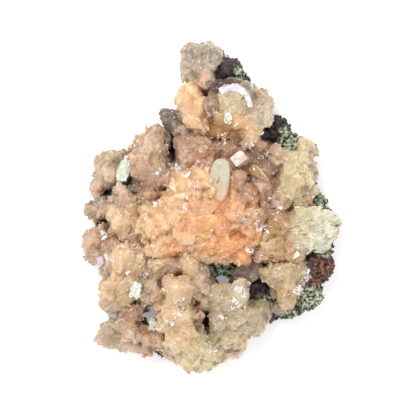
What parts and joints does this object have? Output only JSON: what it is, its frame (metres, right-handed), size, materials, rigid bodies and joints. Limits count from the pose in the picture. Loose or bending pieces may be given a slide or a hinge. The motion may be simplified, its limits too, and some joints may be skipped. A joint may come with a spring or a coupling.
{
  "type": "stellerite with heulandite mineral specimen",
  "caption": "Cabinet mineral specimen: cream to orange stellerite sheaves and tabular heulandite crystals on a plate of dark basalt, lying on its flat back.",
  "frame": {"origin": "on the flat back of the rock plate, under the middle of the specimen's face", "axes": "+Z out of the flat back towards the crystals, +Y towards the narrow end, +X to the right seen from above"},
  "size_m": [0.0915, 0.1186, 0.0372],
  "materials": {
    "basalt": "rough broken rock with green and rust patches",
    "cream_stellerite": "pearly, slightly see-through blades",
    "orange_stellerite": "pearly, slightly see-through blades",
    "white_heulandite": "glassy edges and pearly flat faces",
    "brown_heulandite": "glassy edges and pearly flat faces"
  },
  "bodies": {
    "root": {"basalt_matrix": "basalt", "orange_druse": "orange_stellerite", "orange_wedge": "orange_stellerite", "bottom_pillar": "cream_stellerite", "bottom_right_sheaves": "cream_stellerite", "right_fan": "cream_stellerite", "lower_right_fan": "cream_stellerite", "right_shoulder_sheaves": "cream_stellerite", "upper_right_sheaves": "cream_stellerite", "summit_sheaves": "cream_stellerite", "upper_left_sheaves": "cream_stellerite", "upper_middle_sheaves": "cream_stellerite", "smoky_sheaves": "cream_stellerite", "far_left_sheaves": "cream_stellerite", "left_ball_sheaves": "cream_stellerite", "lower_left_sheaves": "cream_stellerite", "left_edge_sheaves": "cream_stellerite", "middle_lower_sheaves": "cream_stellerite", "bottom_left_sheaves": "cream_stellerite", "centre_heulandite_blade": "white_heulandite", "white_heulandite_block": "white_heulandite", "amber_heulandite": "brown_heulandite", "pearly_heulandite_plate": "white_heulandite", "brown_heulandite_wedge": "brown_heulandite", "mauve_heulandite": "brown_heulandite", "smoky_lower_heulandite": "brown_heulandite", "grey_heulandite_blade": "brown_heulandite", "milky_heulandite_block": "white_heulandite", "milky_heulandite_sliver": "white_heulandite", "diamond_heulandite": "white_heulandite", "lilac_heulandite": "white_heulandite", "bright_heulandite_chip": "white_heulandite", "greenish_heulandite": "white_heulandite", "rose_heulandite_block": "brown_heulandite"}
  },
  "joints": []
}
